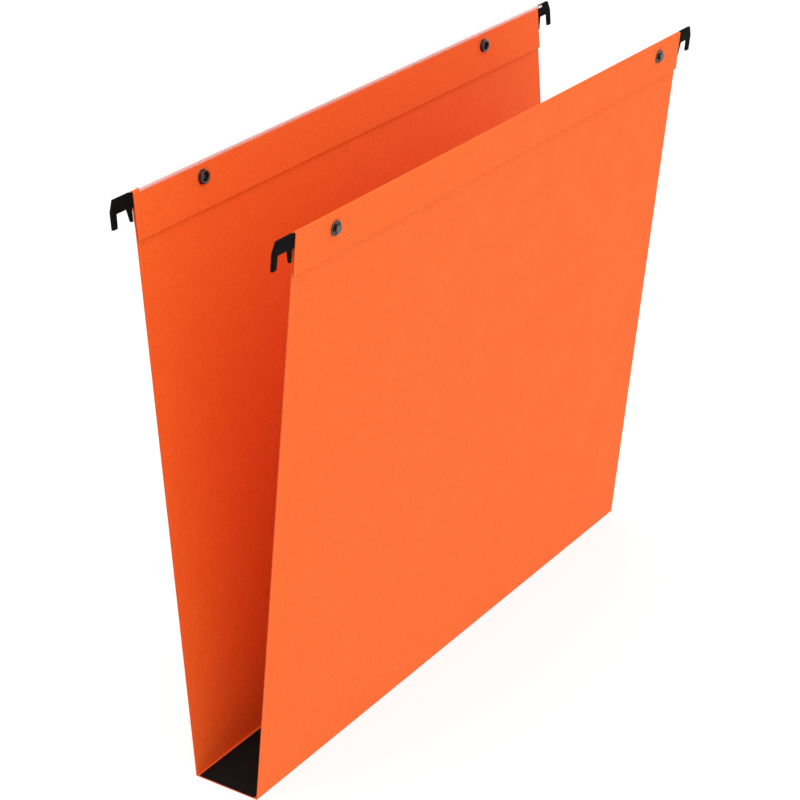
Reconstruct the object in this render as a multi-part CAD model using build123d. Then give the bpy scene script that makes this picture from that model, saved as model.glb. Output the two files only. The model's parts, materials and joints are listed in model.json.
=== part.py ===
from build123d import *
import os

# Hanging file folder for a drawer with two rails, in millimetres, +Z up.
# X runs along the folder, the front panel is at -Y and the rear panel at +Y.
# The origin is the centre of the base's underside.

# Card sheet: front panel, base and rear panel, scored at two creases
FOLDER_LENGTH = 316.5  # card from end to end
CARD = 0.3  # card thickness
BASE_WIDTH = 32.3  # crease to crease
PANEL_HEIGHT = 266.1  # crease to the top of the hem, measured up the panel
LEAN = 4.98  # degrees that each panel leans outwards
CREASE_GAP = 0.08  # a panel's foot to the rounded edge of the base

# Base liner: stiff black sheet that lies on the base
LINER_THICKNESS = 0.5
LINER_SIDE_MARGIN = 1.55  # crease to the liner's long edge
LINER_END_MARGIN = 0.2  # card end to the liner's short edge
LINER_CORNER = 0.5

# Hem: the panel's top, folded over the hanger bar towards the folder's front and brought down as a flap
FRONT_HEM_DEPTH = 18.4  # top of the hem to the flap's lower edge
REAR_HEM_DEPTH = 20.8
HEM_SLACK = 0.05  # hanger bar to each card layer
FLAP_SPLAY = 0.3  # flap's lower edge away from the plane of its upper part
SETBACK_DROP = 12.0  # top of the hem to where the wall starts to come back to its own plane
SETBACK_RISE = 5.0  # height over which it comes back

# Hanger bar: steel strip folded to a channel, open at the bottom
BAR_HEIGHT = 11.0
BAR_THICKNESS = 1.0
BAR_WALL = 0.25
BAR_INSET = 8.0  # end of the bar inside the card's end, with the bar in the middle
BAR_SHIFT = 0.55  # bar with its hooks to the left of the middle

# Hooks: flat plates with a neck into the hem, plugged into the ends of the hanger bars
HOOK_STANDOFF = 0.6  # card end to the hook's shoulder, with the bar in the middle
HOOK_DROP = 0.05  # top of the hem to the hook's top
HOOK_HEIGHT = 12.1
TOOTH_WIDTH = 2.85  # inner tooth, at the roof of the rail notch
TOOTH_TIP_WIDTH = 1.3
NOTCH_WIDTH = 6.6  # rail notch, at its roof
NOTCH_DROP = 6.15  # hook's top to the roof of the notch
LEG_WIDTH = 3.12  # outer leg, at the roof of the notch
LEG_TIP_WIDTH = 2.9
HOOK_CHAMFER_RUN = 1.93
HOOK_CHAMFER_DROP = 4.6
HOOK_CORNER = 0.3
NECK_HEIGHT = 5.6  # neck in the hem and tongue in the bar
TONGUE_LENGTH = 6.5  # part of the hook inside the bar
TONGUE_SLACK = 0.02  # tongue to each wall of the bar
PEG_INSET = 3.5  # bar end to the locking peg
PEG_DIAMETER = 2.0
PEG_SLACK = 0.05

# Press studs: they close the hems and hold the bars
SNAP_DROP = 7.0  # top of the hem to the stud's axis
FRONT_LEFT_SNAP_INSET = 27.0  # card end to the stud's axis
FRONT_RIGHT_SNAP_INSET = 20.5
REAR_LEFT_SNAP_INSET = 44.0
REAR_RIGHT_SNAP_INSET = 52.2
SNAP_HOLE_SLACK = 0.05  # a post to the card and the bar
CLINCH_SLACK = 0.01  # a post to the piece that is clinched on it

# Male half on the front panel
STUD_DISC_DIAMETER = 6.5
STUD_RIM_HEIGHT = 0.6
STUD_RIM_WIDTH = 0.55
STUD_DISH_HEIGHT = 0.35  # floor of the dished disc
STUD_NECK_DIAMETER = 2.8
STUD_NECK_HEIGHT = 0.7
STUD_HEAD_DIAMETER = 3.4
STUD_HEAD_FLARE = 0.2  # neck to the head's full diameter
STUD_HEAD_BAND = 0.6  # straight side of the head
STUD_DOME = 0.4
POST_DIAMETER = 2.2
POST_BORE = 1.5
POST_ENTRY = 0.8  # length of the post inside the stud
POST_END_GAP = 0.1
POST_FLANGE_DIAMETER = 6.5
POST_FLANGE = 0.35

# Female half on the rear panel
EYELET_DIAMETER = 4.3
EYELET_BORE = 3.7
EYELET_ENTRY = 0.6  # length of the eyelet inside the socket
EYELET_FLANGE_DIAMETER = 6.5
EYELET_FLANGE = 0.35
SOCKET_DIAMETER = 5.8
SOCKET_FOOT_DIAMETER = 6.5
SOCKET_FOOT = 0.35
SOCKET_LIP = 0.45
SOCKET_LIP_BORE = 3.8
SOCKET_ROUNDING = 0.3
SPRING_WIRE = 0.45
SPRING_BORE = 3.3
SPRING_SPLIT = 40.0  # degrees left open in the ring
SPRING_SIDE_ROOM = 0.25  # ring to the wall of its groove
SPRING_END_ROOM = 0.05  # ring to each end of its groove

# Index strip: clear lens strip clipped on the rear hem, with a paper label under the lens
STRIP_LEFT_INSET = 3.5  # strip's left end inside the card's left end
STRIP_OVERHANG = 3.5  # strip's right end past the card's right end
STRIP_GAP = 0.1  # hem to each leg of the strip
STRIP_REST = 0.03  # crest of the hem to the strip's floor
STRIP_WALL = 0.25
STRIP_FLOOR = 0.15
STRIP_FRONT_LEG = 1.3  # crest of the hem to the leg's lower edge
STRIP_REAR_LEG = 2.0
LENS_EDGE = 0.12
LENS_CROWN = 0.15
LABEL_THICKNESS = 0.12
LABEL_SLACK = 0.03
LABEL_LEFT_INSET = 0.5  # strip's end to the label's end
LABEL_RIGHT_INSET = 4.5

FRONT = -1
REAR = 1
LEFT = -1
RIGHT = 1

half_card = CARD / 2
half_bar = BAR_THICKNESS / 2
half_length = FOLDER_LENGTH / 2
hem_inner = half_bar + HEM_SLACK  # panel's middle plane to a hem layer's inside
hem_face = hem_inner + CARD  # panel's middle plane to a hem layer's outside
fold_centre = PANEL_HEIGHT - hem_face
bar_top = fold_centre + half_bar
snap_height = PANEL_HEIGHT - SNAP_DROP
post_hole = POST_DIAMETER / 2 + SNAP_HOLE_SLACK
eyelet_hole = EYELET_DIAMETER / 2 + SNAP_HOLE_SLACK


def stand(solid, side):
    """Carry a solid from the panel's own frame to its place in the folder.

    In the panel's frame the crease is the X axis, Y points outwards and Z up the panel.
    """
    turned = solid if side == REAR else Rot(0, 0, 180) * solid
    crease = Pos(0, side * BASE_WIDTH / 2, half_card)
    return crease * Rot(-side * LEAN, 0, 0) * turned


def along_folder(section, left, right):
    """Extrude a section, drawn outwards and up, from one X to another."""
    return Pos(left, 0, 0) * extrude(Plane.YZ * section, amount=right - left)


def across(radius, x, low, high):
    """Cylinder across the panel, at the height of the press studs."""
    length = high - low
    peg = Rot(90, 0, 0) * Cylinder(radius, length)
    return Pos(x, (low + high) / 2, snap_height) * peg


def turned_part(x, *edges):
    """Solid of revolution about a press stud's axis, from edges in radius and outward distance."""
    profile = make_face(Curve(children=edges).edges())
    return Pos(x, 0, snap_height) * revolve(profile, Axis.Y)


def snap_places(side):
    """X of the left and the right press stud, in the panel's own frame."""
    if side == FRONT:
        places = {LEFT: FRONT_LEFT_SNAP_INSET - half_length, RIGHT: half_length - FRONT_RIGHT_SNAP_INSET}
    else:
        places = {LEFT: REAR_LEFT_SNAP_INSET - half_length, RIGHT: half_length - REAR_RIGHT_SNAP_INSET}
    return {end: side * x for end, x in places.items()}


def base_panel():
    """Card between the creases, with edges rounded about the crease lines."""
    section = Pos(0, half_card) * SlotCenterToCenter(BASE_WIDTH, CARD)
    return along_folder(section, -half_length, half_length)


def base_liner():
    """Stiff sheet with round corners, lying on the base card."""
    length = FOLDER_LENGTH - 2 * LINER_END_MARGIN
    width = BASE_WIDTH - 2 * LINER_SIDE_MARGIN
    plan = RectangleRounded(length, width, LINER_CORNER)
    return Pos(0, 0, CARD) * extrude(plan, amount=LINER_THICKNESS)


def card_panel(hole_radius, side):
    """Wall of card that is set back round the bar, folds over it and ends in a flap.

    The flap faces the folder's front: it is outside on the front panel and inside on the rear panel.
    """
    way = -side
    foot = half_card + CREASE_GAP
    setback_top = PANEL_HEIGHT - SETBACK_DROP
    setback_low = setback_top - SETBACK_RISE
    knee = bar_top - BAR_HEIGHT
    flap_end = PANEL_HEIGHT - (FRONT_HEM_DEPTH if side == FRONT else REAR_HEM_DEPTH)

    def run(*points):
        return Polyline(*((way * out, up) for out, up in points))

    def fold(radius):
        crest = (0, fold_centre + radius)
        return ThreePointArc((-way * radius, fold_centre), crest, (way * radius, fold_centre))

    back = run(
        (half_card, foot), (-half_card, foot), (-half_card, setback_low), (-hem_face, setback_top),
        (-hem_face, fold_centre)
    )
    flap = run(
        (hem_face, fold_centre), (hem_face, knee), (hem_face + FLAP_SPLAY, flap_end),
        (hem_inner + FLAP_SPLAY, flap_end), (hem_inner, knee), (hem_inner, fold_centre)
    )
    face = run(
        (-hem_inner, fold_centre), (-hem_inner, setback_top), (half_card, setback_low), (half_card, foot)
    )
    section = make_face(back + fold(hem_face) + flap + fold(hem_inner) + face)
    panel = along_folder(section, -half_length, half_length)
    for x in snap_places(side).values():
        panel -= across(hole_radius, x, -hem_face - CARD, hem_face + CARD)
    return panel


def bar_middle(side):
    """X of the middle of a hanger bar, in the panel's own frame."""
    return -side * BAR_SHIFT


def bar_half():
    """Distance from the middle of a hanger bar to its end, where the neck of the hook begins."""
    return half_length - BAR_INSET


def peg_place(end):
    """Place of a hook's locking peg, from the middle of the bar and up the panel."""
    return end * (bar_half() - PEG_INSET), fold_centre - NECK_HEIGHT / 2


def hanger_bar(hole_radius, side):
    """Folded channel with holes for the press studs and for the pegs of the hooks."""
    inside = half_bar - BAR_WALL
    bottom = bar_top - BAR_HEIGHT
    inner_wall = Polyline(
        (-half_bar, fold_centre), (-half_bar, bottom), (-inside, bottom), (-inside, fold_centre)
    )
    inner_fold = ThreePointArc((-inside, fold_centre), (0, fold_centre + inside), (inside, fold_centre))
    outer_wall = Polyline(
        (inside, fold_centre), (inside, bottom), (half_bar, bottom), (half_bar, fold_centre)
    )
    outer_fold = ThreePointArc((half_bar, fold_centre), (0, bar_top), (-half_bar, fold_centre))
    section = make_face(inner_wall + inner_fold + outer_wall + outer_fold)
    bar = Pos(bar_middle(side), 0, 0) * along_folder(section, -bar_half(), bar_half())
    for x in snap_places(side).values():
        bar -= across(hole_radius, x, -BAR_THICKNESS, BAR_THICKNESS)
    for end in (LEFT, RIGHT):
        x, height = peg_place(end)
        hole = Rot(90, 0, 0) * Cylinder(PEG_DIAMETER / 2 + PEG_SLACK, BAR_THICKNESS)
        bar -= Pos(bar_middle(side) + x, half_bar, height) * hole
    return bar


def hook_tip(end, side):
    """Flat hook with an outer leg, a rail notch and an inner tooth, and its neck, tongue and peg."""
    shoulder = half_length + HOOK_STANDOFF
    notch_in = shoulder + TOOTH_WIDTH
    notch_out = notch_in + NOTCH_WIDTH
    reach = notch_out + LEG_WIDTH
    top = PANEL_HEIGHT - HOOK_DROP
    bottom = top - HOOK_HEIGHT
    roof = top - NOTCH_DROP
    outline = Polyline(
        (end * shoulder, top), (end * (reach - HOOK_CHAMFER_RUN), top),
        (end * reach, top - HOOK_CHAMFER_DROP), (end * reach, bottom),
        (end * (reach - LEG_TIP_WIDTH), bottom), (end * notch_out, roof), (end * notch_in, roof),
        (end * (shoulder + TOOTH_TIP_WIDTH), bottom), (end * shoulder, bottom), close=True
    )
    plate = make_face(outline)
    plate = fillet(plate.vertices(), HOOK_CORNER)
    hook = extrude(Plane.XZ * plate, amount=half_bar, both=True)
    peg_x, middle = peg_place(end)
    neck_root = shoulder + TOOTH_WIDTH / 2
    neck = Box(neck_root - bar_half(), BAR_THICKNESS, NECK_HEIGHT)
    hook += Pos(end * (neck_root + bar_half()) / 2, 0, middle) * neck
    tongue_thickness = BAR_THICKNESS - 2 * (BAR_WALL + TONGUE_SLACK)
    tongue = Box(TONGUE_LENGTH, tongue_thickness, NECK_HEIGHT)
    hook += Pos(end * (bar_half() - TONGUE_LENGTH / 2), 0, middle) * tongue
    peg = Rot(90, 0, 0) * Cylinder(PEG_DIAMETER / 2, half_bar)
    hook += Pos(peg_x, half_bar / 2, middle) * peg
    return Pos(bar_middle(side), 0, 0) * hook


def snap_stud(x):
    """Male press stud: dished disc with a rolled rim, a neck and a domed head, clinched on its post."""
    disc = STUD_DISC_DIAMETER / 2
    neck = STUD_NECK_DIAMETER / 2
    head = STUD_HEAD_DIAMETER / 2
    pocket = POST_DIAMETER / 2 + CLINCH_SLACK
    pocket_end = hem_face + POST_ENTRY + POST_END_GAP
    rim_top = hem_face + STUD_RIM_HEIGHT
    dish = hem_face + STUD_DISH_HEIGHT
    rim_inner = disc - STUD_RIM_WIDTH
    neck_top = dish + STUD_NECK_HEIGHT
    band_low = neck_top + STUD_HEAD_FLARE
    band_high = band_low + STUD_HEAD_BAND
    rim = ThreePointArc((disc, dish), (disc - STUD_RIM_WIDTH / 2, rim_top), (rim_inner, dish))
    back = Polyline(
        (0, pocket_end), (pocket, pocket_end), (pocket, hem_face), (disc, hem_face), (disc, dish)
    )
    front = Polyline(
        (rim_inner, dish), (neck, dish), (neck, neck_top), (head, band_low), (head, band_high)
    )
    crown = band_high + STUD_DOME
    dome_radius = (head**2 + STUD_DOME**2) / (2 * STUD_DOME)
    dome = RadiusArc((head, band_high), (0, crown), -dome_radius)
    axis = Line((0, crown), (0, pocket_end))
    return turned_part(x, back, rim, front, dome, axis)


def snap_post(x):
    """Tubular post through the hem, with its flange on the inside, clinched in the male stud."""
    tip = hem_face + POST_ENTRY
    flange_low = -hem_face - POST_FLANGE
    bore = POST_BORE / 2
    side = POST_DIAMETER / 2
    flange = POST_FLANGE_DIAMETER / 2
    outline = Polyline(
        (bore, flange_low), (flange, flange_low), (flange, -hem_face), (side, -hem_face), (side, tip),
        (bore, tip), close=True
    )
    return turned_part(x, outline)


def snap_eyelet(x):
    """Eyelet through the hem, with its flange on the outside, clinched in the socket."""
    tip = -hem_face - EYELET_ENTRY
    flange_high = hem_face + EYELET_FLANGE
    bore = EYELET_BORE / 2
    side = EYELET_DIAMETER / 2
    flange = EYELET_FLANGE_DIAMETER / 2
    outline = Polyline(
        (bore, flange_high), (flange, flange_high), (flange, hem_face), (side, hem_face), (side, tip),
        (bore, tip), close=True
    )
    return turned_part(x, outline)


def spring_ring_radius():
    """Middle radius of the spring ring's wire."""
    return (SPRING_BORE + SPRING_WIRE) / 2


def groove_end():
    """Outward distance of the socket groove's far end."""
    return -hem_face - EYELET_ENTRY - SPRING_WIRE - 2 * SPRING_END_ROOM


def snap_socket(x):
    """Tubular socket on the inside of the hem, with a groove for the spring ring behind its lip."""
    clinch = EYELET_DIAMETER / 2 + CLINCH_SLACK
    groove = spring_ring_radius() + SPRING_WIRE / 2 + SPRING_SIDE_ROOM
    groove_low = -hem_face - EYELET_ENTRY
    mouth = groove_end() - SOCKET_LIP
    foot = SOCKET_FOOT_DIAMETER / 2
    side = SOCKET_DIAMETER / 2
    lip = SOCKET_LIP_BORE / 2
    round_off = SOCKET_ROUNDING
    foot_end = -hem_face - SOCKET_FOOT
    outside = Polyline(
        (clinch, -hem_face), (foot, -hem_face), (foot, foot_end), (side, foot_end),
        (side, mouth + round_off)
    )
    rounding = CenterArc((side - round_off, mouth + round_off), round_off, 0, -90)
    inside = Polyline(
        (side - round_off, mouth), (lip, mouth), (lip, groove_end()), (groove, groove_end()),
        (groove, groove_low), (clinch, groove_low), (clinch, -hem_face)
    )
    return turned_part(x, outside, rounding, inside)


def snap_spring(x):
    """Split ring of round wire that grips a stud's head inside the socket."""
    middle = groove_end() + SPRING_END_ROOM + SPRING_WIRE / 2
    wire = Pos(spring_ring_radius(), middle) * Circle(SPRING_WIRE / 2)
    ring = revolve(wire, Axis.Y, revolution_arc=360 - SPRING_SPLIT)
    return Pos(x, 0, snap_height) * ring


strip_inner = hem_face + STRIP_GAP
strip_outer = strip_inner + STRIP_WALL
strip_floor = PANEL_HEIGHT + STRIP_REST
slot_floor = strip_floor + STRIP_FLOOR
slot_roof = slot_floor + LABEL_THICKNESS + 2 * LABEL_SLACK
strip_left = -half_length + STRIP_LEFT_INSET
strip_right = half_length + STRIP_OVERHANG


def index_strip():
    """Channel that straddles the hem's crest, with a label slot under a convex lens."""
    shoulder = slot_roof + LENS_EDGE
    front_end = PANEL_HEIGHT - STRIP_FRONT_LEG
    rear_end = PANEL_HEIGHT - STRIP_REAR_LEG
    body = Polyline(
        (-strip_outer, shoulder), (-strip_outer, front_end), (-strip_inner, front_end),
        (-strip_inner, strip_floor), (strip_inner, strip_floor), (strip_inner, rear_end),
        (strip_outer, rear_end), (strip_outer, shoulder)
    )
    lens = ThreePointArc((strip_outer, shoulder), (0, shoulder + LENS_CROWN), (-strip_outer, shoulder))
    slot = Rectangle(2 * strip_inner, slot_roof - slot_floor)
    section = make_face(body + lens) - Pos(0, (slot_floor + slot_roof) / 2) * slot
    return along_folder(section, strip_left, strip_right)


def index_label():
    """Blank paper strip in the slot under the lens."""
    width = 2 * (strip_inner - LABEL_SLACK)
    paper = Pos(0, slot_floor + LABEL_SLACK + LABEL_THICKNESS / 2) * Rectangle(width, LABEL_THICKNESS)
    return along_folder(paper, strip_left + LABEL_LEFT_INSET, strip_right - LABEL_RIGHT_INSET)


nodes = {
    "base_panel": base_panel(),
    "base_liner": base_liner(),
    "front_panel": stand(card_panel(post_hole, FRONT), FRONT),
    "rear_panel": stand(card_panel(eyelet_hole, REAR), REAR),
    "front_hanger_bar": stand(hanger_bar(post_hole, FRONT), FRONT),
    "rear_hanger_bar": stand(hanger_bar(eyelet_hole, REAR), REAR),
    "index_strip": stand(index_strip(), REAR),
    "index_label": stand(index_label(), REAR),
}
for end, end_name in ((LEFT, "left"), (RIGHT, "right")):
    nodes[f"front_{end_name}_hook"] = stand(hook_tip(FRONT * end, FRONT), FRONT)
    nodes[f"rear_{end_name}_hook"] = stand(hook_tip(REAR * end, REAR), REAR)
    front_x = snap_places(FRONT)[end]
    rear_x = snap_places(REAR)[end]
    nodes[f"front_{end_name}_snap_stud"] = stand(snap_stud(front_x), FRONT)
    nodes[f"front_{end_name}_snap_post"] = stand(snap_post(front_x), FRONT)
    nodes[f"rear_{end_name}_snap_socket"] = stand(snap_socket(rear_x), REAR)
    nodes[f"rear_{end_name}_snap_eyelet"] = stand(snap_eyelet(rear_x), REAR)
    nodes[f"rear_{end_name}_snap_spring"] = stand(snap_spring(rear_x), REAR)

os.makedirs("parts", exist_ok=True)
for name, solid in nodes.items():
    export_step(solid, f"parts/{name}.step")
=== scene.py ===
"""Looks of a hanging file folder: orange card, black hooks, press studs and a clear index strip.

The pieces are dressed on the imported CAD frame. The file is laid out as an add-on and run as a script.
Lengths are in metres, in the frame of the CAD model: X along the folder, front panel at -Y, Z up.
"""

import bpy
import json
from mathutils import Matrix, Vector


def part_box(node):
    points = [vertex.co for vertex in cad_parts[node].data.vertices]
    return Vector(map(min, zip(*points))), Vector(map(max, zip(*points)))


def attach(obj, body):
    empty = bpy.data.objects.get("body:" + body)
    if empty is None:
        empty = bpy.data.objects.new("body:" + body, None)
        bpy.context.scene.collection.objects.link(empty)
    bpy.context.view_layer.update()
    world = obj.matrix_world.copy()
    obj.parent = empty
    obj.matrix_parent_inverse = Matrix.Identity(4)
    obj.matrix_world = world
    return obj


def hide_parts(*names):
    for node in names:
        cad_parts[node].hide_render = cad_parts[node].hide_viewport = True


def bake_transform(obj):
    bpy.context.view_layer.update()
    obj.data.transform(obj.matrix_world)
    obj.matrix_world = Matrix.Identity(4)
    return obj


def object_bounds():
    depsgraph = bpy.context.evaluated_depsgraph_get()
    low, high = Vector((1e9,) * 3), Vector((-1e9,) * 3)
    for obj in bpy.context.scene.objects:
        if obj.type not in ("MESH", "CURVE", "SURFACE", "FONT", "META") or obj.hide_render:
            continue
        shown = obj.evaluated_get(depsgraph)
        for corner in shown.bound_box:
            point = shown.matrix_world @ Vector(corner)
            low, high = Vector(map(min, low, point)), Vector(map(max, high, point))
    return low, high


bl_info = {
    "name": "Hanging file folder",
    "version": (1, 0, 0),
    "blender": (4, 5, 0),
    "location": "View3D > Sidebar > Folder",
    "description": "Dresses the CAD frame of a hanging file folder",
    "category": "Object",
}

import json
from math import atan2, cos, pi, radians, sin

import bmesh
import bpy
import numpy as np
from bpy.props import FloatProperty, FloatVectorProperty, PointerProperty
from mathutils import Vector

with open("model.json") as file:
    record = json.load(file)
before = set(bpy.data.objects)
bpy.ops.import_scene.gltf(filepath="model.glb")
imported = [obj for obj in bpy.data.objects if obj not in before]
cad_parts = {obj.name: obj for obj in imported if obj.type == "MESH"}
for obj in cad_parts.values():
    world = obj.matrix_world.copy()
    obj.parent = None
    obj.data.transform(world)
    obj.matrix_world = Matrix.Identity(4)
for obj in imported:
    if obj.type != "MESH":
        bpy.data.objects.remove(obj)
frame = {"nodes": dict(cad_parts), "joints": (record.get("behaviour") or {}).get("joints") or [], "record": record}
CAD_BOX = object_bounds()

# Places that the frame gives: the creases, the lean of the panels and the press studs
FRONT = -1
REAR = 1
SIDE_NAMES = {FRONT: "front", REAR: "rear"}
ENDS = {"left": -1, "right": 1}
JOINTS = {joint["name"]: joint for joint in frame["joints"]}
MOUNTS = {mount["name"]: mount for mount in frame["record"]["mounts"]}
CREASES = {side: np.array(JOINTS[f"{name}_panel_fold"]["pos_m"]) for side, name in SIDE_NAMES.items()}
STRIP_LIFT = JOINTS["index_strip_lift"]["axis"]
LEAN = atan2(STRIP_LIFT[1], STRIP_LIFT[2])
CARD_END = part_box("front_panel")[1].x
SNAP_MOUNTS = {FRONT: "front_{}_stud", REAR: "rear_{}_socket"}

ALONG = np.array((1.0, 0.0, 0.0))
MILLIMETRES_PER_METRE = 1000
SHARP_ANGLE = radians(40)
TINY = 1e-12

# Rows and stations of the card's grids
WALL_ROWS = 33
SETBACK_ROWS = 13
HEM_ROWS = 5
FOLD_ROWS = 17
KNEE_ROWS = 4
FLAP_ROWS = 9
PATCH_ROWS = 17
END_STATIONS = 13
MIDDLE_STATIONS = 65
CREASE_ROWS = 13
CREASE_STATIONS = 49

# Limits of the card's grids, as shares, and how far the creased bands stand proud of the card
FLAT_LAYER = 0.99
ON_EDGE = 1.001
LEAST_REACH = 1e-6
PATCH_ROOM = 1.2
CREASE_PROUD = 5e-6

# Rounding of corners, and steps of curves
EASED_SHARE = 0.45
STUD_EASE = 0.0001
FLANGE_EASE = 0.0002
SOCKET_EASE = 0.00022
RIM_STEPS = 13
DOME_STEPS = 9
LINER_STEPS = 12

# Painted shade in the press studs' recesses and on their outer sides: its attribute, the depth that counts as
# level and the share of the outside
RECESS_SHADE = "recess"
LEVEL_REACH = 0.02
OUTSIDE_SHARE = 0.6

# Finishes: noise in grains to a metre, depths and reaches in metres, the rest as plain factors
WHITE = (1, 1, 1, 1)
NOISE_REACH = (0.3, 0.7)
CARD_FIBRES = {"scale": 950, "stretch": (0.7, 1, 1), "detail": 5.0}
CARD_CLOUDS = {"scale": 55, "detail": 2.0}
CARD_PALE = (1.015, 1.11, 1.35)
CARD_PALE_LIFT = 0.005
CARD_DEEP = (0.94, 0.85, 0.55)
CARD_CLOUD_SHARE = 0.35
CARD_ROUGHNESS = (0.74, 0.88)
CARD_SHINE = 0.4
CARD_TOOTH = {"depth": 0.00004, "strength": 0.35}
CUT_REACH = 0.00005
LINER_FINISH = {"roughness": 0.62, "shine": 0.08, "grains": 2600, "depth": 0.00004}
HOOK_FINISH = {"roughness": 0.55, "shine": 0.012, "grains": 3200, "depth": 0.00003}
BAR_FINISH = {"roughness": 0.4, "shine": 0.3, "grains": 2400, "depth": 0.00002}
MOULDED_DETAIL = 3.0
MOULDED_STRENGTH = 0.4
RUBBED_SIZE = 12
RUBBED_DETAIL = 4.0
RUBBED_GAIN = 1.7
RUBBED_ROUGHNESS = 0.06
METAL_PATCHES = {"scale": 900, "detail": 4.0}
METAL_GRAIN = {"scale": 5200, "detail": 2.0}
METAL_OXIDE = 0.5
METAL_ROUGHNESS = (0.42, 0.28)
METAL_TOOTH = {"depth": 0.00002, "strength": 0.25}
STRIP_LINES = {"scale": 2500, "stretch": (0.01, 1, 1), "detail": 2.0}
STRIP_ROUGHNESS = (0.27, 0.33)
PAPER_FIBRES = {"scale": 2200, "stretch": (0.5, 1, 1), "detail": 4.0}
PAPER_SHADE = 0.95
PAPER_ROUGHNESS = 0.85
PAPER_SHINE = 0.2
PAPER_TOOTH = {"depth": 0.00002, "strength": 0.2}
FLOOR_ROUGHNESS = 0.9


def length(label, text, millimetres):
    """A length property whose default is given in millimetres."""
    metres = millimetres / MILLIMETRES_PER_METRE
    return FloatProperty(name=label, description=text, default=metres, precision=5, unit="LENGTH")


def number(label, text, value):
    """A property for a plain number."""
    return FloatProperty(name=label, description=text, default=value)


def angle(label, text, degrees):
    """An angle property whose default is given in degrees."""
    return FloatProperty(name=label, description=text, default=radians(degrees), unit="ROTATION")


def point(label, text, metres):
    """A property for a point."""
    return FloatVectorProperty(name=label, description=text, default=metres, size=3, unit="LENGTH")


def colour(label, text, value):
    """A linear colour property."""
    return FloatVectorProperty(
        name=label, description=text, default=value, size=3, min=0, max=1, subtype="COLOR"
    )


class CardSettings(bpy.types.PropertyGroup):
    """Sizes and colours of the card sheet."""

    thickness: length("Thickness", "Thickness of the card", 0.3)
    height: length("Panel height", "Crease to the crest of the hem", 266.1)
    foot: length("Foot", "Crease line to the lower edge of a panel", 0.23)
    fold_radius: length("Fold radius", "Middle of the hem to the middle of its card", 0.7)
    front_flap: length("Front flap", "Crest of the front hem to the edge of its flap", 18.4)
    rear_flap: length("Rear flap", "Crest of the rear hem to the edge of its flap", 20.8)
    knee_drop: length("Knee drop", "Crest of the hem to where its flap starts to splay", 11.35)
    splay: length("Splay", "Edge of a flap away from the plane of its upper part", 0.3)
    setback_drop: length("Setback drop", "Crest of the hem to where the wall comes back to its plane", 12.0)
    setback_rise: length("Setback rise", "Height over which the wall comes back", 5.0)
    front_hole: length("Front hole", "Radius of the holes for the posts", 1.15)
    rear_hole: length("Rear hole", "Radius of the holes for the eyelets", 2.2)
    patch: number("Patch", "Half side of the squares round the holes, in hole radii", 1.6)
    press_run: length("Press run", "Length of the hem's ends that is pressed together", 7.0)
    press_ease: number("Press ease", "Share of the run that eases in", 0.8)
    press_drop: length("Press drop", "Crest of the hem to where the press begins", 6.6)
    press_fade: length("Press fade", "Height over which the press sets in", 2.0)
    press_keep: number("Press keep", "Share of the setback left at the ends", 0.3)
    crease_run: length("Crease run", "Crease line to each edge of the creased band", 0.6)
    dye: colour("Dye", "Colour of the card's faces", (0.944, 0.1375, 0.0095))
    core: colour("Core", "Colour of the card's cut edges", (0.62, 0.10, 0.02))


class LinerSettings(bpy.types.PropertyGroup):
    """Finish of the black sheet on the base."""

    corner: length("Corner", "Radius of the sheet's corners", 0.5)
    bevel: length("Bevel", "Rounding of the sheet's edges", 0.1)
    black: colour("Black", "Colour of the sheet", (0.0036, 0.0052, 0.0050))


class HookSettings(bpy.types.PropertyGroup):
    """Sizes and finish of the hooks and the bars that carry them."""

    standoff: length("Standoff", "Card end to the hook's shoulder", 0.6)
    thickness: length("Thickness", "Thickness of the hook", 1.0)
    height: length("Height", "Height of the hook", 12.1)
    tooth: length("Tooth", "Width of the inner tooth at its root", 2.85)
    tooth_tip: length("Tooth tip", "Width of the inner tooth at its tip", 1.3)
    notch: length("Notch", "Width of the rail notch at its roof", 6.6)
    notch_drop: length("Notch drop", "Top of the hook to the roof of the notch", 6.15)
    leg: length("Leg", "Width of the outer leg at its root", 3.12)
    leg_tip: length("Leg tip", "Width of the outer leg at its tip", 2.9)
    slope_run: length("Slope run", "Length of the cut-off corner along the top", 1.93)
    slope_drop: length("Slope drop", "Height of the cut-off corner", 4.6)
    corner: length("Corner", "Easing of the outline's corners", 0.3)
    bevel: length("Bevel", "Rounding of the moulded edges", 0.06)
    tongue: length("Tongue", "Length of the tongue inside the bar", 6.5)
    neck: length("Neck", "Length of the neck inside the card's end", 8.0)
    neck_height: length("Neck height", "Height of the neck and the tongue", 5.6)
    tongue_thickness: length("Tongue thickness", "Thickness of the tongue", 0.46)
    neck_drop: length("Neck drop", "Top of the hook to the top of the neck", 0.8)
    peg: length("Peg", "Radius of the locking peg on the tongue", 1.0)
    peg_inset: length("Peg inset", "End of the bar to the axis of the peg", 3.5)
    drop: length("Drop", "Crest of the hem to the top of the hook", 0.05)
    shift: length("Shift", "Bar and hooks to the left of the middle", 0.55)
    plastic: colour("Plastic", "Colour of the hooks", (0.0046, 0.0046, 0.0047))
    paint: colour("Paint", "Colour of the hanger bars", (0.010, 0.010, 0.011))


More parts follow.
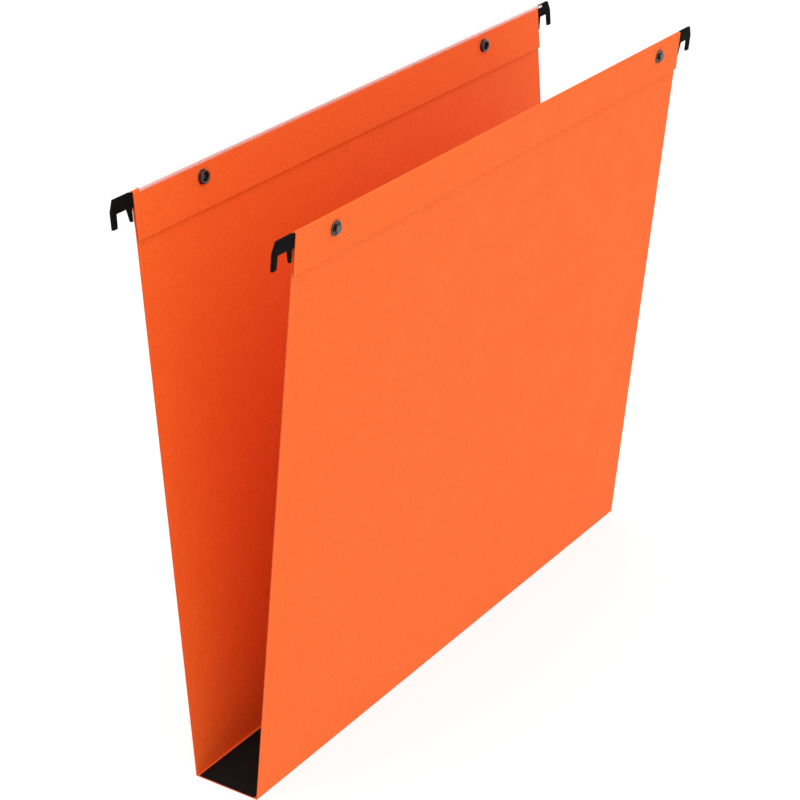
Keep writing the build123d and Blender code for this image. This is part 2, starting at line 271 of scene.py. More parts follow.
class SnapSettings(bpy.types.PropertyGroup):
    """Sizes and finish of the press studs, measured outwards from the middle of the hem."""

    hem_face: length("Hem face", "Middle of the hem to its outside", 0.85)
    disc: length("Disc", "Radius of the stud's disc", 3.25)
    rim: length("Rim", "Radius of the rolled rim's section", 0.275)
    dish: length("Dish", "Thickness of the disc inside its rim", 0.35)
    neck: length("Neck", "Radius of the stud's neck", 1.4)
    neck_height: length("Neck height", "Height of the neck above the dish", 0.7)
    head: length("Head", "Radius of the stud's head", 1.7)
    head_flare: length("Head flare", "Height over which the head widens", 0.2)
    head_band: length("Head band", "Straight side of the head", 0.6)
    dome: length("Dome", "Height of the head's dome", 0.4)
    post: length("Post", "Outer radius of the post", 1.1)
    post_bore: length("Post bore", "Inner radius of the post", 0.75)
    post_entry: length("Post entry", "Length of the post inside the stud", 0.8)
    post_flange: length("Post flange", "Radius of the post's flange", 3.25)
    eyelet: length("Eyelet", "Outer radius of the eyelet", 2.15)
    eyelet_bore: length("Eyelet bore", "Inner radius of the eyelet", 1.85)
    eyelet_entry: length("Eyelet entry", "Length of the eyelet inside the socket", 0.6)
    eyelet_flange: length("Eyelet flange", "Radius of the eyelet's flange", 3.25)
    flange: length("Flange", "Thickness of the flanges", 0.35)
    socket: length("Socket", "Outer radius of the socket", 2.9)
    socket_height: length("Socket height", "Height of the socket on the hem", 1.6)
    socket_lip: length("Socket lip", "Thickness of the socket's lip", 0.45)
    socket_bore: length("Socket bore", "Radius of the opening in the lip", 1.9)
    funnel: length("Funnel", "Radius of the socket's mouth, from which the lip slopes in", 2.45)
    funnel_depth: length("Funnel depth", "Height of the sloping part of the lip", 0.3)
    groove: length("Groove", "Radius of the groove for the spring", 2.35)
    clinch: length("Clinch", "Radius of the socket round the eyelet", 2.16)
    gunmetal: colour("Gunmetal", "Colour of the metal", (0.17, 0.18, 0.185))
    # Painted shade: the colour that the metal is darkened to with depth below its raised faces, standing for the
    # shade in the recesses; the recess depth below sets where it is full
    patina: colour("Patina", "Colour of the metal in its recesses", (0.012, 0.013, 0.015))
    recess: length("Recess", "Depth below a raised face at which the metal is fully dark", 0.4)


class StripSettings(bpy.types.PropertyGroup):
    """Finish of the index strip and its label."""

    milky: colour("Milky plastic", "Colour of the strip", (0.985, 0.985, 0.98))
    clear_drop: length("Clear drop", "Crest of the hem to where the legs are clearest", 1.45)
    milky_rise: length("Milky rise", "Crest of the hem to where the legs are milkiest", 0.45)
    skin_in: length("Skin inside", "Middle of the hem to the inside of the legs' milky skin", 0.98)
    skin_out: length("Skin outside", "Middle of the hem to where the skin is milky all through", 1.15)
    lens_rise: length("Lens rise", "Crest of the hem to where the lens begins", 0.42)
    tip_drop: length("Tip drop", "Crest of the hem to the milky edge of the legs past the card's end", 0.4)
    ease: length("Ease", "Length over which the opacity changes", 0.1)
    least: number("Least", "Opacity of the legs where they are clearest", 0.04)
    most: number("Most", "Opacity of the legs where they are milkiest", 0.85)
    lens: number("Lens", "Opacity of the lens", 0.05)
    tip: number("Tip", "Opacity of the legs past the card's end", 0.92)
    paper: colour("Label paper", "Colour of the label", (0.95, 0.86, 0.82))


class StageSettings(bpy.types.PropertyGroup):
    """Floor, light and camera."""

    floor: colour("Floor", "Colour of the floor", (0.3, 0.3, 0.3))
    floor_glow: number("Floor glow", "Light that the floor gives off", 0.75)
    floor_half: length("Floor half", "Half of the floor's side", 6000.0)
    floor_drop: length("Floor drop", "Floor below the folder's underside", 0.1)
    sky: number("Sky", "Level of the light from all round", 1.05)
    key: number("Key", "Power of the key lamp in watts", 5.0)
    key_size: length("Key size", "Side of the key lamp", 1000.0)
    key_place: point("Key place", "Place of the key lamp", (-0.6, -0.2, 1.6))
    camera_place: point("Camera place", "Place of the camera", (-0.83346, -0.52305, 0.58964))
    azimuth: angle("Azimuth", "Turn of the view about Z", -55.913)
    elevation: angle("Elevation", "View above the horizon", 24.631)
    lens: number("Lens", "Focal length in millimetres", 106.572)
    shift_x: number("Shift X", "Sideways shift of the frame", 0.05815)
    shift_y: number("Shift Y", "Upward shift of the frame", -0.03975)


# Shapes


def panel_axes(side):
    """Outward and upward direction of a panel: the level and the vertical one, turned by the lean."""
    outward = np.array((0.0, side * cos(LEAN), -sin(LEAN)))
    upward = np.array((0.0, side * sin(LEAN), cos(LEAN)))
    return outward, upward


def on_panel(side, along, out, up):
    """Points on a panel: crease + along * X + out * outward + up * upward, for arrays of the same shape."""
    outward, upward = panel_axes(side)
    along, out, up = (np.asarray(value)[..., None] for value in np.broadcast_arrays(along, out, up))
    return CREASES[side] + along * ALONG + out * outward + up * upward


def snap_place(side, end_name):
    """Place of a press stud along the folder and up its panel, from the stud's mount."""
    place = np.array(MOUNTS[SNAP_MOUNTS[side].format(end_name)]["pos_m"])
    upward = panel_axes(side)[1]
    return place[0], (place - CREASES[side]) @ upward


def grid_faces(rows, columns, close_rows=False, close_columns=False):
    """Quads of a grid of points, wrapped round where it closes."""
    index = np.arange(rows * columns).reshape(rows, columns)
    if close_rows:
        index = np.vstack([index, index[:1]])
    if close_columns:
        index = np.hstack([index, index[:, :1]])
    corners = [index[:-1, :-1], index[:-1, 1:], index[1:, 1:], index[1:, :-1]]
    return np.stack(corners, axis=-1).reshape(-1, 4)


def eased(points, reach, steps=6, closed=False):
    """Line with eased corners: each corner is a quadratic curve from reach before it to reach after it.

    The reach is at most a share of the edge, a little under half, so that two corners never meet.
    """
    points = np.asarray(points, float)
    if closed:
        before, corners, after = np.roll(points, 1, axis=0), points, np.roll(points, -1, axis=0)
    else:
        before, corners, after = points[:-2], points[1:-1], points[2:]
    ends = []
    for neighbour in (before, after):
        edge = neighbour - corners
        span = np.linalg.norm(edge, axis=1, keepdims=True)
        ends.append(corners + edge / span * np.minimum(reach, EASED_SHARE * span))
    share = np.linspace(0, 1, steps)[:, None, None]
    curves = (1 - share) ** 2 * ends[0] + 2 * share * (1 - share) * corners + share**2 * ends[1]
    curves = curves.transpose(1, 0, 2).reshape(-1, 2)
    if closed:
        return curves
    return np.vstack([points[:1], curves, points[-1:]])


def eased_step(share):
    """Smooth step from 0 to 1, three times the square less twice the cube of the share, held outside."""
    share = np.clip(share, 0, 1)
    return share * share * (3 - 2 * share)


def line_normals(line):
    """Unit normals of a line in a plane: its tangents by central differences, turned a quarter."""
    tangent = np.gradient(line, axis=0)
    normal = np.stack([tangent[:, 1], -tangent[:, 0]], axis=1)
    return normal / np.linalg.norm(normal, axis=1, keepdims=True)


def loop_normals(loop):
    """Outward mitre vectors of a closed anticlockwise loop.

    Each is twice the sum of both edges' normals, divided by that sum's squared length.
    """
    edge = np.roll(loop, -1, axis=0) - loop
    normal = np.stack([edge[:, 1], -edge[:, 0]], axis=1)
    normal /= np.maximum(np.linalg.norm(normal, axis=1, keepdims=True), TINY)
    both = normal + np.roll(normal, 1, axis=0)
    return 2 * both / np.maximum((both**2).sum(axis=1, keepdims=True), TINY)


def thick_faces(faces, count):
    """Faces of a sheet with two skins of count points each, and which of them are the cut edges.

    The second skin is the first one turned over, and a rim joins them along the edges that one face has.
    """
    edges = np.concatenate([faces[:, [corner, (corner + 1) % 4]] for corner in range(4)])
    _, first, uses = np.unique(np.sort(edges, axis=1), axis=0, return_index=True, return_counts=True)
    single = edges[first[uses == 1]]
    rim = np.stack([single[:, 1], single[:, 0], single[:, 0] + count, single[:, 1] + count], axis=1)
    cut = np.arange(2 * len(faces) + len(rim)) >= 2 * len(faces)
    return np.concatenate([faces, faces[:, ::-1] + count, rim]).tolist(), cut


def plate(outline, thickness, bevel, steps=4):
    """Flat plate with rounded edges, as rings of outline points with their depth, and faces.

    A ring at an angle is the outline drawn in by the bevel times one less the cosine. Its depth is half the
    thickness less the bevel, on the angle's side, plus the bevel times the sine.
    """
    quarter = np.linspace(0, pi / 2, steps)
    turn = np.concatenate([-quarter[::-1], quarter])
    level = np.repeat([-1, 1], steps) * (thickness / 2 - bevel) + bevel * np.sin(turn)
    inset = bevel * (1 - np.cos(turn))
    flat = outline[None] - inset[:, None, None] * loop_normals(outline)[None]
    depth = np.broadcast_to(level[:, None, None], (*flat.shape[:2], 1))
    rings = np.concatenate([flat, depth], axis=2)
    rows, columns = rings.shape[:2]
    faces = grid_faces(rows, columns, close_columns=True).tolist()
    last = (rows - 1) * columns
    caps = [list(range(columns - 1, -1, -1)), list(range(last, last + columns))]
    return rings, faces + caps


def turned(profile, side, along, up, closed, steps=72):
    """Surface of revolution about a press stud's axis, from a profile of (radius, outward distance).

    A point at an angle is the axis plus the radius times the cosine along the folder and the sine up the
    panel, at its outward distance. An open profile is closed by a flat cap at each end.
    """
    turn = np.linspace(0, 2 * pi, steps, endpoint=False)
    radius, out = profile[:, :1], profile[:, 1:]
    points = on_panel(side, along + radius * np.cos(turn), out + 0 * turn, up + radius * np.sin(turn))
    rows = len(profile)
    faces = grid_faces(rows, steps, close_rows=closed, close_columns=True).tolist()
    if not closed:
        faces += [list(range(steps)), list(range((rows - 1) * steps, rows * steps))]
    return points, faces


# Pieces


def add_piece(name, points, faces, body, materials, nodes=()):
    """Mesh object with outward normals and sharp edges, which rides on its body if it has one."""
    mesh = bpy.data.meshes.new(name)
    mesh.from_pydata(np.reshape(points, (-1, 3)).tolist(), [], faces)
    work = bmesh.new()
    work.from_mesh(mesh)
    bmesh.ops.recalc_face_normals(work, faces=work.faces)
    work.to_mesh(mesh)
    work.free()
    mesh.shade_smooth()
    mesh.set_sharp_from_angle(angle=SHARP_ANGLE)
    for finish in materials:
        mesh.materials.append(finish)
    piece = bpy.data.objects.new(name, mesh)
    bpy.context.scene.collection.objects.link(piece)
    if body:
        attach(piece, body)
    if nodes:
        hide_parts(*nodes)
    return piece


def finish_node(node, material):
    """Give a CAD node that stays in view its finish."""
    slots = frame["nodes"][node].data.materials
    slots.clear()
    slots.append(material)


def panel_rows(side, card, snap_up, patch):
    """Middle line of a panel as (out, up), and its layer: 1 on the wall of the hem, -1 on the flap, else 0.

    Straight wall; setback away from the flap by a smooth step; half circle over the bar; flap on the side
    of the folder's front, straight down to the knee and then away from the wall.
    """
    radius = card.fold_radius
    fold = card.height - radius - card.thickness / 2
    setback_top = card.height - card.setback_drop
    setback_low = setback_top - card.setback_rise
    knee = card.height - card.knee_drop
    edge = card.height - (card.front_flap if side == FRONT else card.rear_flap)
    share = np.linspace(0, 1, SETBACK_ROWS)[1:]
    wall_up = np.linspace(card.foot, setback_low, WALL_ROWS)
    setback = eased_step(share)
    setback_up = setback_low + card.setback_rise * share
    snap_rows = snap_up + patch
    hem_up = np.concatenate([np.linspace(setback_top, snap_rows[0], HEM_ROWS)[1:-1], snap_rows])
    turn = np.linspace(0, pi, FOLD_ROWS)
    knee_rows = np.linspace(snap_rows[0], knee, KNEE_ROWS)[1:-1]
    flap_up = np.concatenate([snap_rows[::-1], knee_rows, np.linspace(knee, edge, FLAP_ROWS)])
    splay = card.splay * np.clip((knee - flap_up) / (knee - edge), 0, 1)
    up = np.concatenate([wall_up, setback_up, hem_up, fold + radius * np.sin(turn), flap_up])
    back = np.concatenate([
        0 * wall_up, radius * setback, 0 * hem_up + radius, radius * np.cos(turn), -radius - splay
    ])
    layer = np.concatenate([0 * wall_up, setback, 0 * hem_up + 1, 0 * turn, 0 * flap_up - 1])
    return np.stack([side * back, up], axis=1), layer


def pressed_ends(side, card, along, up, layer):
    """Outward shift of the hem's wall where its ends are pressed, below the necks of the hooks.

    Share of the press: a smooth step along the last press_run of the card times one down from the neck.
    The wall then keeps only a share of its setback.
    """
    end = eased_step((abs(along) - CARD_END + card.press_run) / (card.press_run * card.press_ease))
    below = eased_step((card.height - card.press_drop - up) / card.press_fade)
    setback = side * card.fold_radius * np.maximum(layer, 0)
    return (card.press_keep - 1) * setback * end * below


def panel_sheet(side, card):
    """Both skins of a hemmed panel with its round holes, as points, faces and cut edges.

    Around each press stud a square of the grid is drawn into a circle: at the hole's own size a point lies
    on the hole's edge, at the square's size it stays, and between them it goes from one to the other.
    """
    hole = card.front_hole if side == FRONT else card.rear_hole
    square = card.patch * hole
    patch = np.linspace(-1, 1, PATCH_ROWS) * square
    places = [snap_place(side, end_name) for end_name in ENDS]
    snap_up = places[0][1]
    line, layer = panel_rows(side, card, snap_up, patch)
    flat = abs(layer) > FLAT_LAYER
    near_end = np.linspace(CARD_END - card.press_run, CARD_END, END_STATIONS)
    middle = np.linspace(-near_end[0], near_end[0], MIDDLE_STATIONS)[1:-1]
    clear = np.all([abs(middle - snap) > PATCH_ROOM * square for snap, _ in places], axis=0)
    stations = np.concatenate([-near_end, middle[clear], near_end, *(snap + patch for snap, _ in places)])
    along, up = np.meshgrid(np.sort(stations), line[:, 1])
    out = line[:, :1] + pressed_ends(side, card, along, up, layer[:, None])
    inside = np.zeros(along.shape, bool)
    for snap, _ in places:
        across = (along - snap) / square
        above = (up - snap_up) / square
        reach = np.maximum(abs(across), abs(above))
        near = (reach < ON_EDGE) & flat[:, None]
        weight = np.clip((reach * card.patch - 1) / (card.patch - 1), 0, 1)
        stretch = (1 - weight) * hole / np.maximum(np.hypot(across, above), LEAST_REACH) + weight * square
        along = np.where(near, snap + stretch * across, along)
        up = np.where(near, snap_up + stretch * above, up)
        inside |= near & (reach * card.patch < ON_EDGE)
    normal = line_normals(line) * card.thickness / 2
    skins = []
    for way in (1, -1):
        skin = on_panel(side, along, out + way * normal[:, :1], up + way * normal[:, 1:])
        skins.append(skin.reshape(-1, 3))
    faces = grid_faces(*along.shape)
    faces = faces[~inside.ravel()[faces].all(axis=1)]
    used, faces = np.unique(faces, return_inverse=True)
    faces, cut = thick_faces(faces.reshape(-1, 4), len(used))
    return np.concatenate([skin[used] for skin in skins]), faces, cut


def crease_sheet(side, card):
    """Creased band of card: flat under the base, an arc about the crease line, flat up the panel.

    The arc turns from straight down to the panel's outward direction. Its outside is just proud of the
    card, half the card's thickness from the line, and its inside lies half as far from the line.
    """
    stations = np.linspace(-CARD_END, CARD_END, CREASE_STATIONS)
    turn = np.linspace(0, pi / 2 - LEAN, CREASE_ROWS)
    outward, upward = panel_axes(side)
    inward = np.array((0.0, -side, 0.0))
    down = np.array((0.0, 0.0, -1.0))
    spokes = np.sin(turn)[:, None] * -inward + np.cos(turn)[:, None] * down
    feet = np.zeros_like(spokes)
    spokes = np.vstack([down, spokes, outward])
    feet = np.vstack([inward * card.crease_run, feet, upward * card.crease_run])
    skins = []
    for radius in (card.thickness / 2 + CREASE_PROUD, card.thickness / 4):
        section = CREASES[side] + feet + radius * spokes
        skins.append((section[:, None] + stations[None, :, None] * ALONG).reshape(-1, 3))
    faces, cut = thick_faces(grid_faces(len(spokes), len(stations)), len(skins[0]))
    return np.concatenate(skins), faces, cut


def hook_outline(hook):
    """Outline of a hook and its neck as (distance from the card's end, height from its top), eased."""
    shoulder = hook.standoff
    notch_in = shoulder + hook.tooth
    notch_out = notch_in + hook.notch
    tip = notch_out + hook.leg
    neck_top = -hook.neck_drop
    neck_low = neck_top - hook.neck_height
    corners = [
        (shoulder, 0), (shoulder, neck_top), (-hook.neck, neck_top), (-hook.neck, neck_low),
        (shoulder, neck_low), (shoulder, -hook.height), (shoulder + hook.tooth_tip, -hook.height),
        (notch_in, -hook.notch_drop), (notch_out, -hook.notch_drop), (tip - hook.leg_tip, -hook.height),
        (tip, -hook.height), (tip, -hook.slope_drop), (tip - hook.slope_run, 0),
    ]
    return eased(corners, hook.corner, closed=True)


def tongue_outline(hook):
    """Outline of the tongue, which runs on from the neck into the bar."""
    root = hook.bevel - hook.neck
    end = -hook.neck - hook.tongue
    top = -hook.neck_drop
    low = top - hook.neck_height
    return eased([(end, top), (end, low), (root, low), (root, top)], hook.corner, closed=True)


def peg_outline(hook, steps=48):
    """Circle of the locking peg, half-way up the tongue."""
    turn = np.linspace(0, 2 * pi, steps, endpoint=False)
    middle = np.array((-hook.neck - hook.peg_inset, -hook.neck_drop - hook.neck_height / 2))
    return middle + hook.peg * np.stack([np.cos(turn), np.sin(turn)], axis=1)


def hook_body(hook):
    """Plate with its neck, tongue and peg of a hook, as points of (distance, height, depth) and faces.

    The peg goes from the middle of the tongue to the outer face of the bar.
    """
    half = hook.thickness / 2
    peg, peg_faces = plate(peg_outline(hook), half, hook.bevel)
    peg[..., 2] += half / 2
    plates = [
        plate(hook_outline(hook), hook.thickness, hook.bevel),
        plate(tongue_outline(hook), hook.tongue_thickness, hook.bevel),
        (peg, peg_faces),
    ]
    points, faces = [], []
    for rings, quads in plates:
        first = sum(map(len, points))
        points.append(rings.reshape(-1, 3))
        faces += [[first + corner for corner in face] for face in quads]
    return np.concatenate(points), faces


def stud_profile(snap):
    """Profile of the male stud: back, rolled rim, dished floor, neck, head and dome."""
    face = snap.hem_face
    floor = face + snap.dish
    middle = snap.disc - snap.rim
    turn = np.linspace(0, pi, RIM_STEPS)
    rim = np.stack([middle + snap.rim * np.cos(turn), floor + snap.rim * np.sin(turn)], axis=1)
    neck_top = floor + snap.neck_height
    band_low = neck_top + snap.head_flare
    band_high = band_low + snap.head_band
    head = eased([
        (middle - snap.rim, floor), (snap.neck, floor), (snap.neck, neck_top), (snap.head, band_low),
        (snap.head, band_high),
    ], STUD_EASE)
    arc = np.linspace(0, pi / 2, DOME_STEPS)[1:-1]
    dome = np.stack([snap.head * np.cos(arc), band_high + snap.dome * np.sin(arc)], axis=1)
    back = [(snap.post, face), (snap.disc - STUD_EASE, face), (snap.disc, face + STUD_EASE)]
    return np.vstack([back, rim, head[1:], dome])


def post_profile(snap):
    """Profile of the tubular post: flange on the inside of the hem, tube into the stud."""
    face = snap.hem_face
    low = -face - snap.flange
    tip = face + snap.post_entry
    return eased([
        (snap.post_bore, low), (snap.post_flange, low), (snap.post_flange, -face), (snap.post, -face),
        (snap.post, tip), (snap.post_bore, tip),
    ], FLANGE_EASE, closed=True)


def eyelet_profile(snap):
    """Profile of the eyelet: flange on the outside of the hem, tube into the socket."""
    face = snap.hem_face
    high = face + snap.flange
    tip = -face - snap.eyelet_entry
    return eased([
        (snap.eyelet_bore, high), (snap.eyelet_flange, high), (snap.eyelet_flange, face),
        (snap.eyelet, face), (snap.eyelet, tip), (snap.eyelet_bore, tip),
    ], FLANGE_EASE, closed=True)


def socket_profile(snap):
    """Profile of the tubular socket: foot on the hem, wall, lip with its funnel, groove and clinch."""
    face = -snap.hem_face
    foot = face - snap.flange
    mouth = face - snap.socket_height
    groove_end = mouth + snap.socket_lip
    groove_start = face - snap.eyelet_entry
    return eased([
        (snap.clinch, face), (snap.eyelet_flange, face), (snap.eyelet_flange, foot), (snap.socket, foot),
        (snap.socket, mouth), (snap.funnel, mouth), (snap.socket_bore, mouth + snap.funnel_depth),
        (snap.socket_bore, groove_end), (snap.groove, groove_end), (snap.groove, groove_start),
        (snap.clinch, groove_start),
    ], SOCKET_EASE, closed=True)


# Finishes


def new_material(name):
    """Material with its node tree and its shader."""
    material = bpy.data.materials.new(name)
    material.use_nodes = True
    return material, material.node_tree, material.node_tree.nodes["Principled BSDF"]


def add_node(tree, kind, **values):
    """Node with values for its inputs, by name, or for its own settings."""
    node = tree.nodes.new(kind)
    for key, value in values.items():
        label = key.replace("_", " ").title()
        if label in node.inputs:
            node.inputs[label].default_value = value
        else:
            setattr(node, key, value)
    return node


def grain(tree, scale, detail, stretch=(1, 1, 1)):
    """Noise in the piece's own coordinates, of scale grains to a metre."""
    place = add_node(tree, "ShaderNodeTexCoord")
    mapping = add_node(tree, "ShaderNodeMapping")
    mapping.inputs["Scale"].default_value = stretch
    noise = add_node(tree, "ShaderNodeTexNoise", scale=scale, detail=detail)
    tree.links.new(place.outputs["Object"], mapping.inputs["Vector"])
    tree.links.new(mapping.outputs["Vector"], noise.inputs["Vector"])
    return noise.outputs["Fac"]


def feed(tree, socket, value):
    """Give an input a socket to follow, a colour or a number."""
    if isinstance(value, bpy.types.NodeSocket):
        tree.links.new(value, socket)
    elif isinstance(value, (int, float)):
        socket.default_value = value
    else:
        socket.default_value = (*value, 1)


def spread(tree, value, low, high, reach=NOISE_REACH):
    """Value stretched from its reach, which is that of a noise, to low and high, numbers or sockets."""
    node = add_node(tree, "ShaderNodeMapRange")
    labels = ("Value", "From Min", "From Max", "To Min", "To Max")
    for label, given in zip(labels, (value, *reach, low, high)):
        feed(tree, node.inputs[label], given)
    return node.outputs["Result"]


def blend_colours(tree, share, first, second):
    """Mix of two colours, each given as numbers or as a socket."""
    node = add_node(tree, "ShaderNodeMix", data_type="RGBA")
    tree.links.new(share, node.inputs["Factor"])
    for label, value in (("A", first), ("B", second)):
        socket = [given for given in node.inputs if given.name == label and given.type == "RGBA"][0]
        feed(tree, socket, value)
    return [given for given in node.outputs if given.type == "RGBA"][0]


def piece_axes(tree, turn=0.0):
    """The piece's own X, Y and Z, turned about X."""
    place = add_node(tree, "ShaderNodeTexCoord")
    mapping = add_node(tree, "ShaderNodeMapping")
    mapping.inputs["Rotation"].default_value = (turn, 0, 0)
    axes = add_node(tree, "ShaderNodeSeparateXYZ")
    tree.links.new(place.outputs["Object"], mapping.inputs["Vector"])
    tree.links.new(mapping.outputs["Vector"], axes.inputs["Vector"])
    return axes.outputs


def distance_from(tree, value, middle):
    """Distance of a value from a number."""
    shifted = add_node(tree, "ShaderNodeMath", operation="SUBTRACT")
    apart = add_node(tree, "ShaderNodeMath", operation="ABSOLUTE")
    feed(tree, shifted.inputs[0], value)
    feed(tree, shifted.inputs[1], middle)
    feed(tree, apart.inputs[0], shifted.outputs[0])
    return apart.outputs[0]


def roughen(tree, shader, height, depth, strength):
    """Bump from a noise, depth metres deep."""
    bump = add_node(tree, "ShaderNodeBump", strength=strength, distance=depth)
    tree.links.new(height, bump.inputs["Height"])
    tree.links.new(bump.outputs["Normal"], shader.inputs["Normal"])


def card_finish(name, dye, core=None):
    """Uncoated kraft card: dyed fibres along the folder, soft clouds of tone and a dry, fine tooth.

    A core colour shows at the card's two ends, for a solid whose cut edges have no finish of their own.
    """
    material, tree, shader = new_material(name)
    fibres = grain(tree, **CARD_FIBRES)
    clouds = grain(tree, **CARD_CLOUDS)
    pale = tuple(min(1.0, channel * gain + CARD_PALE_LIFT) for channel, gain in zip(dye, CARD_PALE))
    deep = tuple(channel * loss for channel, loss in zip(dye, CARD_DEEP))
    speckle = blend_colours(tree, spread(tree, fibres, 0, 1), deep, pale)
    cloudy = blend_colours(tree, spread(tree, clouds, 0, CARD_CLOUD_SHARE), speckle, deep)
    if core is not None:
        from_middle = distance_from(tree, piece_axes(tree)["X"], 0)
        at_end = spread(tree, from_middle, 0, 1, (CARD_END - CUT_REACH, CARD_END))
        cloudy = blend_colours(tree, at_end, cloudy, core)
    tree.links.new(cloudy, shader.inputs["Base Color"])
    tree.links.new(spread(tree, fibres, *CARD_ROUGHNESS), shader.inputs["Roughness"])
    shader.inputs["Specular IOR Level"].default_value = CARD_SHINE
    roughen(tree, shader, fibres, **CARD_TOOTH)
    return material


def black_finish(name, base, roughness, shine, grains, depth):
    """Black plastic or paint with a fine moulded grain and slightly rubbed patches."""
    material, tree, shader = new_material(name)
    fine = grain(tree, grains, MOULDED_DETAIL)
    rubbed = grain(tree, grains / RUBBED_SIZE, RUBBED_DETAIL)
    lighter = tuple(RUBBED_GAIN * channel for channel in base)
    worn = blend_colours(tree, spread(tree, rubbed, 0, 1), base, lighter)
    uneven = spread(tree, rubbed, roughness - RUBBED_ROUGHNESS, roughness + RUBBED_ROUGHNESS)
    tree.links.new(worn, shader.inputs["Base Color"])
    tree.links.new(uneven, shader.inputs["Roughness"])
    shader.inputs["Specular IOR Level"].default_value = shine
    roughen(tree, shader, fine, depth, MOULDED_STRENGTH)
    return material


def metal_finish(name, bright, dark):
    """Blackened steel: a dark oxide rubbed bright in random patches, with painted shade that blends it to the dark
    colour where the recess attribute is high.
    """
    material, tree, shader = new_material(name)
    patches = grain(tree, **METAL_PATCHES)
    fine = grain(tree, **METAL_GRAIN)
    recess = add_node(tree, "ShaderNodeAttribute", attribute_name=RECESS_SHADE).outputs["Fac"]
    oxide = tuple(METAL_OXIDE * channel for channel in bright)
    rubbed = blend_colours(tree, spread(tree, patches, 0, 1), oxide, bright)
    # Painted shade: the rubbed colour goes to the dark one as the recess attribute rises
    tree.links.new(blend_colours(tree, recess, rubbed, dark), shader.inputs["Base Color"])
    tree.links.new(spread(tree, patches, *METAL_ROUGHNESS), shader.inputs["Roughness"])
    shader.inputs["Metallic"].default_value = 1.0
    roughen(tree, shader, fine, **METAL_TOOTH)
    return material


def strip_finish(name, strip, crest):
    """Extruded plastic: a clear lens on legs that are milky along the crest and clear at their edges.

    Only the outer skin of the legs is milky. Its opacity is a straight line in the height up the rear
    panel. Past the card's end the skin is milky below the tip's drop, and as clear as the lens above it.
    """
    material, tree, shader = new_material(name)
    lines = grain(tree, **STRIP_LINES)
    along, out, height = piece_axes(tree, LEAN)
    middle, foot = (float(CREASES[REAR] @ axis) for axis in panel_axes(REAR))
    level = foot + crest

    def rising(drop, rise, low, high):
        """Opacity that goes from low, a drop below the crest, to high, a rise above it."""
        return spread(tree, height, low, high, (level - drop, level + rise))

    legs = rising(strip.clear_drop, strip.milky_rise, strip.least, strip.most)
    over_card = rising(-strip.lens_rise, strip.lens_rise + strip.ease, legs, strip.lens)
    tip = rising(strip.tip_drop, strip.ease - strip.tip_drop, strip.tip, strip.lens)
    skin = spread(tree, along, over_card, tip, (CARD_END, CARD_END + strip.ease))
    from_hem = distance_from(tree, out, middle)
    opacity = spread(tree, from_hem, strip.lens, skin, (strip.skin_in, strip.skin_out))
    shader.inputs["Base Color"].default_value = (*strip.milky, 1)
    tree.links.new(opacity, shader.inputs["Alpha"])
    tree.links.new(spread(tree, lines, *STRIP_ROUGHNESS), shader.inputs["Roughness"])
    return material


def paper_finish(name, paper):
    """Plain label paper with a fine fibre."""
    material, tree, shader = new_material(name)
    fibres = grain(tree, **PAPER_FIBRES)
    shade = tuple(PAPER_SHADE * channel for channel in paper)
    fibrous = blend_colours(tree, spread(tree, fibres, 0, 1), shade, paper)
    tree.links.new(fibrous, shader.inputs["Base Color"])
    shader.inputs["Roughness"].default_value = PAPER_ROUGHNESS
    shader.inputs["Specular IOR Level"].default_value = PAPER_SHINE
    roughen(tree, shader, fibres, **PAPER_TOOTH)
    return material


# Operators


class DressCard(bpy.types.Operator):
    """Make the hemmed panels and the creased bands, and finish the base."""

    bl_idname = "folder.dress_card"
    bl_label = "Card"

    def execute(self, context):
        card = context.scene.folder_card
        finishes = [card_finish("orange_card", card.dye), card_finish("card_cut_edge", card.core)]
        for side, name in SIDE_NAMES.items():
            points, faces, cut = panel_sheet(side, card)
            panel = add_piece(
                f"card_{name}", points, faces, f"{name}_panel", finishes, [f"{name}_panel"]
            )
            panel.data.polygons.foreach_set("material_index", cut.astype(np.int32))
            points, faces, cut = crease_sheet(side, card)
            crease = add_piece(f"crease_{name}", points, faces, None, finishes)
            crease.data.polygons.foreach_set("material_index", cut.astype(np.int32))
            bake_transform(crease)
        finish_node("base_panel", card_finish("base_card", card.dye, card.core))
        return {"FINISHED"}


class DressLiner(bpy.types.Operator):
    """Make the black sheet that lies on the base."""

    bl_idname = "folder.dress_liner"
    bl_label = "Base liner"

    def execute(self, context):
        liner = context.scene.folder_liner
        low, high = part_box("base_liner")
        corners = [(low.x, low.y), (high.x, low.y), (high.x, high.y), (low.x, high.y)]
        outline = eased(corners, liner.corner, LINER_STEPS, closed=True)
        rings, faces = plate(outline, high.z - low.z, liner.bevel)
        rings[..., 2] += (low.z + high.z) / 2
        finish = black_finish("liner_black", liner.black, **LINER_FINISH)
        add_piece("liner", rings, faces, "base", [finish], ["base_liner"])
        return {"FINISHED"}


class DressHangers(bpy.types.Operator):
    """Make the hooks and finish the bars that carry them."""

    bl_idname = "folder.dress_hangers"
    bl_label = "Hooks and bars"

    def execute(self, context):
        hook = context.scene.folder_hook
        top = context.scene.folder_card.height - hook.drop
        plastic = black_finish("hook_plastic", hook.plastic, **HOOK_FINISH)
        paint = black_finish("bar_paint", hook.paint, **BAR_FINISH)
        flat, faces = hook_body(hook)
        for side, name in SIDE_NAMES.items():
            for end_name, end in ENDS.items():
                along = end * (CARD_END + flat[:, 0]) - hook.shift
                points = on_panel(side, along, flat[:, 2], top + flat[:, 1])
                node = f"{name}_{end_name}_hook"
                label = f"hook_{name}_{end_name}"
                add_piece(label, points, faces, f"{name}_panel", [plastic], [node])
            finish_node(f"{name}_hanger_bar", paint)
        return {"FINISHED"}


